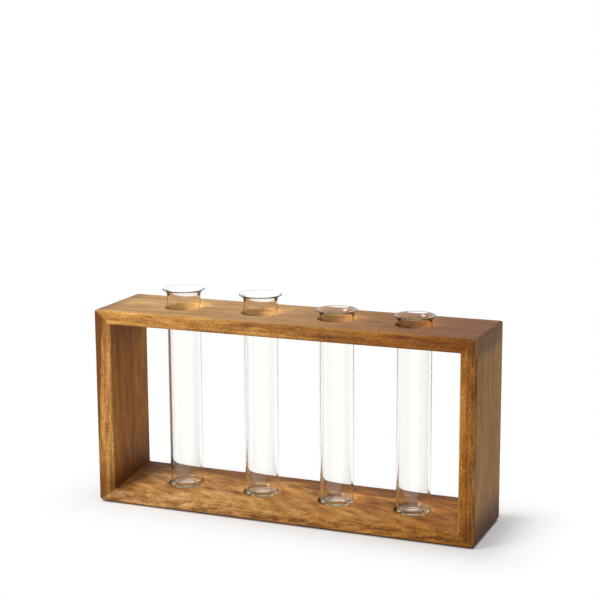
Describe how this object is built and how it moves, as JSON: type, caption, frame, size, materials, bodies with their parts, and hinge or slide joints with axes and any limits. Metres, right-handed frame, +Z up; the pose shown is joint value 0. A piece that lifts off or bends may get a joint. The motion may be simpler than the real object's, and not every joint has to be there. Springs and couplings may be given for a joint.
{
  "type": "test tube vase",
  "caption": "Table vase of clear glass test tubes with flared lips, standing in a row in a mitred wooden frame that holds them upright, each lifting out for filling.",
  "frame": {"origin": "on the table, under the middle of the frame", "axes": "+X along the row of tubes to the right seen from the front, -Y to the front, +Z up"},
  "size_m": [0.3, 0.07, 0.1663],
  "materials": {
    "wood": "satin oiled hardwood",
    "tongue_wood": "raw plywood",
    "rubber": "matt",
    "glass": "clear, polished"
  },
  "bodies": {
    "frame": {"top_rail": "wood", "base_rail": "wood", "left_upright": "wood", "right_upright": "wood", "tongue_top_left": "tongue_wood", "tongue_top_right": "tongue_wood", "tongue_base_left": "tongue_wood", "tongue_base_right": "tongue_wood", "foot_front_left": "rubber", "foot_rear_left": "rubber", "foot_front_right": "rubber", "foot_rear_right": "rubber"},
    "tube_1": {"glass_tube_1": "glass"},
    "tube_2": {"glass_tube_2": "glass"},
    "tube_3": {"glass_tube_3": "glass"},
    "tube_4": {"glass_tube_4": "glass"}
  },
  "joints": [
    {"name": "tube_1_lift", "type": "slide", "parent": "frame", "child": "tube_1", "axis": [0, 0, 1], "range_m": [0, 0.15]},
    {"name": "tube_2_lift", "type": "slide", "parent": "frame", "child": "tube_2", "axis": [0, 0, 1], "range_m": [0, 0.15]},
    {"name": "tube_3_lift", "type": "slide", "parent": "frame", "child": "tube_3", "axis": [0, 0, 1], "range_m": [0, 0.15]},
    {"name": "tube_4_lift", "type": "slide", "parent": "frame", "child": "tube_4", "axis": [0, 0, 1], "range_m": [0, 0.15]}
  ]
}
